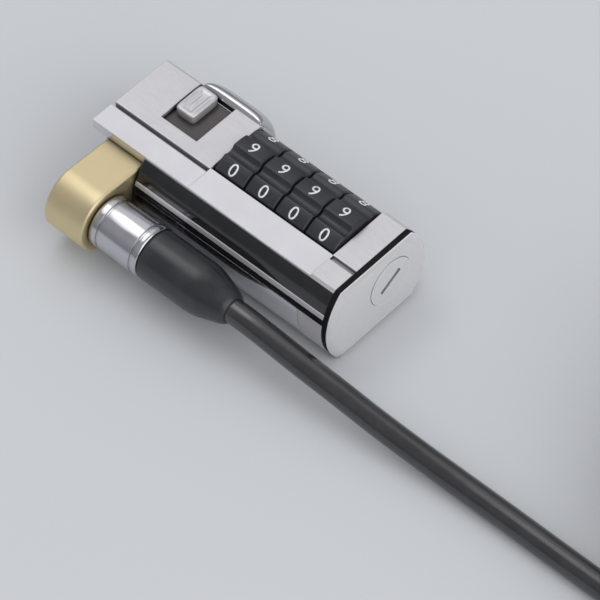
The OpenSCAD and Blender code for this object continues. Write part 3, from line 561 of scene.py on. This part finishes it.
# looks that differ from the slot's own; the end plate and reset screw take a paler copy of the satin,
# painted light
lookOf = {"end_plate": "satin_painted_light", "reset_screw": "satin_painted_light", "trim_strip": "end_satin"}
for node, (width, body) in softened.items():
    piece = softenedCopy(node, width, 4 if node == "collar" else 3)
    settle(piece, body, lookOf.get(node, slotOf[node]))

gasket = {
    "swell": (1.0, 1.026, 1.04),  # along X, Y and Z: the rubber is pressed out almost flush
    "edge": 0.06,
}


def swollenGasket(g):
    # the gasket's own shape, each point moved away from the barrel's axis in proportion to its place
    piece = softenedCopy("end_gasket", g["edge"], 2)
    axis = np.array([0.0, 0.0, barrel["axisZ"] * mm])
    places = np.array([v.co[:] for v in piece.data.vertices])
    moved = (places - axis) * g["swell"] + axis
    piece.data.vertices.foreach_set("co", moved.astype(np.float32).ravel())
    piece.data.update()
    settle(piece, "lock_body", "gasket")


swollenGasket(gasket)
print("shells softened:", len(softened) + 1)

cover = {
    "x": (-17.45, -5.95),
    "angles": (48.0, 116.0),  # degrees from upright towards the far side
    "rise": 1.7,
    "power": 3.6,
    "sink": 0.25,
    "rings": 49,
}


def coverSurface(c):
    # over a patch of the barrel's round side, at angle q from upright and station x, the radius is
    # barrel + rise (1 - |s|^power)^(1/power) (1 - |t|^power)^(1/power), where s and t run from -1
    # to 1 along and across the patch; a second sheet just under the barrel's skin closes it
    w = np.sin(np.linspace(-math.pi / 2, math.pi / 2, c["rings"]))
    s, t = np.meshgrid(w, w, indexing="ij")
    power = c["power"]
    lift = (1 - np.abs(s) ** power) ** (1 / power) * (1 - np.abs(t) ** power) ** (1 / power)
    x0, x1 = c["x"]
    x = (x0 + x1) / 2 + s * (x1 - x0) / 2
    q = np.radians(sum(c["angles"]) / 2 + t * (c["angles"][1] - c["angles"][0]) / 2)
    over, under = barrel["radius"] + c["rise"] * lift, barrel["radius"] - c["sink"] * (lift > 0)
    over, under = [np.stack([x, r * np.sin(q), barrel["axisZ"] + r * np.cos(q)], -1) for r in (over, under)]
    return np.concatenate([over, under[::-1]])


coverPiece = gridMesh("latch_cover.shown", coverSurface(cover), wrapU=True, sharp=50)
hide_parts("latch_cover")
# the cover takes the darker chrome copy, painted shade
settle(coverPiece, "lock_body", "chrome_painted_shade")

button = {
    "x": (-17.45, -13.75),
    "y": (1.8, 7.6),
    "z": (13.75, 15.3),
    "power": 0.28,  # of its outline: the lower, the squarer
    "edge": 0.3,  # round its top
    "ridges": 3,
    "ridgeSpread": 1.2,  # how much closer the ridges lie than an even share of its length
    "ridgeHeight": 0.12,
    "edgeRings": 7,
    "topRings": 13,
}


def buttonSurface(b):
    # a rounded rectangle, at angle a (half length sign(cos a) |cos a|^n, half width sign(sin a) |sin a|^n),
    # carried up from its foot; round the top it draws in on a quarter circle, and the top is crossed
    # by ridges of height cos^2
    a = np.linspace(0, 2 * math.pi, 96, endpoint=False)
    cx, cy = (np.sign(v) * np.abs(v) ** b["power"] for v in (np.cos(a), np.sin(a)))
    hx, hy = (b["x"][1] - b["x"][0]) / 2, (b["y"][1] - b["y"][0]) / 2
    mx, my = sum(b["x"]) / 2, sum(b["y"]) / 2
    q = np.linspace(0, math.pi / 2, b["edgeRings"])
    edge, inwards = b["edge"], np.linspace(0, 1, b["topRings"] + 1)[1:]
    inset = np.concatenate([[0.0], edge * (1 - np.cos(q)), edge + inwards * (hx - edge)])
    z = np.concatenate([[b["z"][0]], b["z"][1] - edge * (1 - np.sin(q)), np.full(b["topRings"], b["z"][1])])
    grid = np.zeros((len(z), len(a), 3))
    grid[:, :, 0] = mx + (hx - inset)[:, None] * cx
    grid[:, :, 1] = my + (hy - inset * np.where(inset > edge, hy / hx, 1.0))[:, None] * cy
    grid[:, :, 2] = z[:, None]
    flat = np.arange(len(z)) > b["edgeRings"] + 1
    phase = (grid[:, :, 0] - mx) / hx * math.pi * b["ridges"] / 2 * b["ridgeSpread"]
    wave = np.cos(phase) ** 2 * b["ridgeHeight"]
    grid[:, :, 2] -= np.where(flat[:, None], b["ridgeHeight"] - wave, 0.0)
    foot = grid[:1].copy()
    foot[:, :, 0], foot[:, :, 1] = mx, my
    return np.concatenate([foot, grid])


buttonPiece = gridMesh("release_button.shown", buttonSurface(button), wrapV=True)
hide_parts("release_button")
settle(buttonPiece, "slide_body", "end_satin")
print("barrel dressed")

dial = {
    "count": 4,
    "firstX": -5.3,
    "pitch": 6.0,
    "width": 5.7,
    "radius": 7.5,
    "bore": 5.06,
    "shoulder": 0.4,  # flat ring round the bore on each side
    "hollows": 10,
    "hollowRadius": 1.1,
    "hollowDepth": 0.6,
    "blend": 0.10,  # between the rim and a hollow
    "readAngle": 31.5,  # of the digit that is read, from upright towards the near side
    "edge": 0.35,
    "digitHeight": 2.2,
    "digitLift": 0.02,
    "digitDepth": 0.12,
    "fontSize": 1.38,  # beside a digit's height
    "digitStrips": 10,
}


def dialOutline(d, a):
    # radius at angle a: the lesser of the dial's own radius and the ray's length to the near side of
    # the closest hollow's circle, out cos e - sqrt(r^2 - (out sin e)^2); the two are blended as
    # -soft log(exp(-one / soft) + exp(-other / soft))
    step = 2 * math.pi / d["hollows"]
    first = math.radians(d["readAngle"]) + step / 2
    e = (a - first + step / 2) % step - step / 2
    out = d["radius"] - d["hollowDepth"] + d["hollowRadius"]
    inside = d["hollowRadius"] ** 2 - (out * np.sin(e)) ** 2
    hollow = np.where(inside > 0, out * np.cos(e) - np.sqrt(np.maximum(inside, 0)), out)
    soft = d["blend"]
    return -soft * np.log(np.exp(-d["radius"] / soft) + np.exp(-hollow / soft))


def dialSurface(d, x0):
    # the outline, at angle a from upright towards the near side, carried along X. Between the bore
    # and the rim the side is flat; each rim is rounded on a quarter circle
    a = np.linspace(0, 2 * math.pi, 360, endpoint=False)
    rim = np.minimum(dialOutline(d, a), d["radius"])
    q = np.linspace(0, math.pi / 2, 6)
    edge, width, back = d["edge"], d["width"], q[::-1]
    x = np.concatenate([[0, 0], edge * (1 - np.cos(q)), width - edge * (1 - np.cos(back)), [width] * 2])
    cut = np.concatenate([[0, 0], edge * (1 - np.sin(q)), edge * (1 - np.sin(back)), [0, 0]])
    radius = rim[None, :] - cut[:, None]
    radius[0], radius[-1] = d["bore"], d["bore"]
    radius[1], radius[-2] = d["bore"] + d["shoulder"], d["bore"] + d["shoulder"]
    return np.stack(
        [
            np.repeat(x0 + x[:, None], len(a), 1),
            dialAxis["y"] - radius * np.sin(a),
            dialAxis["z"] + radius * np.cos(a),
        ],
        -1,
    )


def digitMesh(number, size):
    # one digit as a thin solid, its middle at the origin, cut across into strips so that it can bend
    curve = bpy.data.curves.new("digit", "FONT")
    curve.body, curve.size, curve.align_x = str(number), size, "CENTER"
    curve.extrude = dial["digitDepth"] / 2
    curve.resolution_u = 6
    holder = bpy.data.objects.new("digit", curve)
    bpy.context.scene.collection.objects.link(holder)
    mesh = bpy.data.meshes.new_from_object(holder.evaluated_get(bpy.context.evaluated_depsgraph_get()))
    bpy.data.objects.remove(holder)
    bm = bmesh.new()
    bm.from_mesh(mesh)
    bmesh.ops.remove_doubles(bm, verts=bm.verts, dist=1e-5)
    low = min(v.co.y for v in bm.verts)
    high = max(v.co.y for v in bm.verts)
    for height in np.linspace(low, high, dial["digitStrips"] + 1)[1:-1]:
        everything = bm.verts[:] + bm.edges[:] + bm.faces[:]
        bmesh.ops.bisect_plane(bm, geom=everything, plane_co=(0, height, 0), plane_no=(0, 1, 0))
    bmesh.ops.triangulate(bm, faces=bm.faces)
    co = np.array([v.co[:] for v in bm.verts])
    faces = [[v.index for v in f.verts] for f in bm.faces]
    bm.free()
    bpy.data.meshes.remove(mesh)
    co[:, 1] -= (low + high) / 2
    return co, faces


def digitsOnDial(d, x0, shapes):
    # digit k is wrapped round the dial: its width runs along X, and its height h turns into the
    # angle read angle + k steps - h / radius; its front stands just over the dial's radius and the
    # rest of it is sunk into the dial
    step = 2 * math.pi / d["hollows"]
    places, faces, count = [], [], 0
    for k, (co, tris) in enumerate(shapes):
        a = math.radians(d["readAngle"]) + k * step - co[:, 1] / d["radius"]
        r = d["radius"] + d["digitLift"] - d["digitDepth"] / 2 + co[:, 2]
        x = x0 + d["width"] / 2 + co[:, 0]
        places.append(np.stack([x, dialAxis["y"] - r * np.sin(a), dialAxis["z"] + r * np.cos(a)], -1))
        faces += [[i + count for i in t] for t in tris]
        count += len(co)
    return np.vstack(places), faces


digitPaint = Finish("digitPaint")
digitPaint.shade(Roughness=0.42)
digitPaint.put(
    digitPaint.shader,
    "Base Color",
    digitPaint.ramp(digitPaint.noise(1800.0, 4.0), [(0.3, (0.58, 0.58, 0.60)), (0.6, (0.76, 0.76, 0.78))]),
)
shapes = [digitMesh(k, dial["digitHeight"] * dial["fontSize"]) for k in range(dial["hollows"])]
for i in range(dial["count"]):
    x0 = dial["firstX"] + i * dial["pitch"]
    node = "dial_%d" % (i + 1)
    wheel = gridMesh(node + ".shown", dialSurface(dial, x0), wrapV=True, wrapU=True, sharp=50)
    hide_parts(node)
    settle(wheel, node + "_body", "dial_black")
    places, faces = digitsOnDial(dial, x0, shapes)
    mesh = bpy.data.meshes.new(node + ".digits")
    mesh.from_pydata([tuple(p) for p in places * mm], [], faces)
    digits = bpy.data.objects.new(node + ".digits", mesh)
    bpy.context.scene.collection.objects.link(digits)
    mesh.shade_smooth()
    mesh.materials.append(digitPaint.material)
    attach(digits, node + "_body")
print("dials made")

ferrule = {
    "x": (-14.5, -4.8),
    "radius": 4.35,
    "bore": 2.4,
    "edge": 0.5,
    "grooves": (-13.0, -6.3),
    "grooveLine": ((0.0, 0.0), (0.12, 0.22), (0.38, 0.22), (0.5, 0.0)),  # along and inwards
    "grooveEdge": 0.05,
}
sleeve = {
    "x": (-4.8, 11.0),
    "radius": 4.2,
    "taper": 5.4,
    "tip": 2.7,
    "tipLength": 0.6,
    "tipStep": 0.4,
    "bore": 2.0,
    "edges": (0.5, 1.6, 0.4, 0.3),
}


def ferruleProfile(f):
    x0, x1 = f["x"]
    r, e = f["radius"], f["edge"]
    corners = [(x0, f["bore"]), (x0, r)]
    radii = [e]
    for g in f["grooves"]:
        corners += [(g + along, r - inwards) for along, inwards in f["grooveLine"]]
        radii += [f["grooveEdge"]] * len(f["grooveLine"])
    corners += [(x1, r), (x1, f["bore"])]
    radii += [e]
    return rounded(corners, radii)


def sleeveProfile(s):
    x0, x1 = s["x"]
    r, tip = s["radius"], s["tip"]
    corners = [(x0, s["bore"]), (x0, r), (x1 - s["taper"], r), (x1 - s["tipLength"], tip)]
    corners += [(x1, tip - s["tipStep"]), (x1, s["bore"])]
    return rounded(corners, s["edges"], 8)


ferrulePiece = lathe("ferrule.shown", ferruleProfile(ferrule), cablePlace["y"], cablePlace["z"])
sleevePiece = lathe("sleeve.shown", sleeveProfile(sleeve), cablePlace["y"], cablePlace["z"])
for piece, node in ((ferrulePiece, "ferrule"), (sleevePiece, "sleeve")):
    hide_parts(node)
    # the ferrule takes the darker chrome copy, painted shade
    settle(piece, "collar_body", "chrome_painted_shade" if node == "ferrule" else slotOf[node])
print("fitting made")

studio = {
    "floor": (0.55, 0.57, 0.60),
    "sky": 0.68,  # light that the world gives the object
    "mirrorHigh": (0.40, 0.40, 0.42),  # what polished metal sees above it
    "mirrorLow": (0.26, 0.27, 0.29),  # and round it, near the floor
    "mirrorRise": (0.05, 0.62),  # where the one starts to turn into the other, 0 level and 1 upright
    "floorSize": 8.0,  # in metres
    "lampsAim": (0.0, 0.0, 0.01),  # in metres
    "lamps": [  # name, place in metres, size, watts
        ("key", (-0.37, 0.26, 0.78), 0.80, 0.9),
        ("glint", (-0.39, 0.12, 0.81), 0.30, 0.48),
        ("nearGlint", (-0.37, -0.14, 0.81), 0.30, 0.36),
        ("fill", (0.84, -0.12, 0.55), 1.20, 6.0),
    ],
}


def addStudio(s):
    bpy.ops.mesh.primitive_plane_add(size=s["floorSize"], location=(0, 0, 0))
    floor = bpy.context.object
    floor.name = "floor"
    f = Finish("floorPaper")
    f.shade(Roughness=0.85, Base_Color=(*s["floor"], 1.0))
    floor.data.materials.append(f.material)
    for name, place, size, power in s["lamps"]:
        data = bpy.data.lights.new(name, "AREA")
        data.size, data.energy = size, power
        lamp = bpy.data.objects.new(name, data)
        bpy.context.scene.collection.objects.link(lamp)
        lamp.location = place
        ahead = np.array(s["lampsAim"]) - np.array(place)
        turn = math.atan2(ahead[1], ahead[0])
        down = math.atan2(math.hypot(ahead[0], ahead[1]), -ahead[2])
        lamp.rotation_euler = (down, 0.0, turn - math.pi / 2)
    world = bpy.data.worlds.new("studio")
    bpy.context.scene.world = world
    world.use_nodes = True
    tree = world.node_tree
    tree.nodes.clear()
    add, link = tree.nodes.new, tree.links.new
    path, coords, parts = add("ShaderNodeLightPath"), add("ShaderNodeTexCoord"), add("ShaderNodeSeparateXYZ")
    rise = add("ShaderNodeValToRGB")
    rise.color_ramp.interpolation = "EASE"
    tones = (s["mirrorLow"], s["mirrorHigh"])
    for stop, place, tone in zip(rise.color_ramp.elements, s["mirrorRise"], tones):
        stop.position, stop.color = place, (*tone, 1.0)
    link(coords.outputs["Generated"], parts.inputs[0])
    link(parts.outputs[2], rise.inputs[0])
    mirrored, lighting = add("ShaderNodeBackground"), add("ShaderNodeBackground")
    mix = add("ShaderNodeMixShader")
    link(rise.outputs[0], mirrored.inputs[0])
    lighting.inputs[0].default_value = (1.0, 1.0, 1.0, 1.0)
    lighting.inputs[1].default_value = s["sky"]
    link(path.outputs["Is Glossy Ray"], mix.inputs[0])
    link(lighting.outputs[0], mix.inputs[1])
    link(mirrored.outputs[0], mix.inputs[2])
    link(mix.outputs[0], add("ShaderNodeOutputWorld").inputs[0])


addStudio(studio)
bpy.context.scene.view_settings.view_transform = "Standard"
print("studio lit")
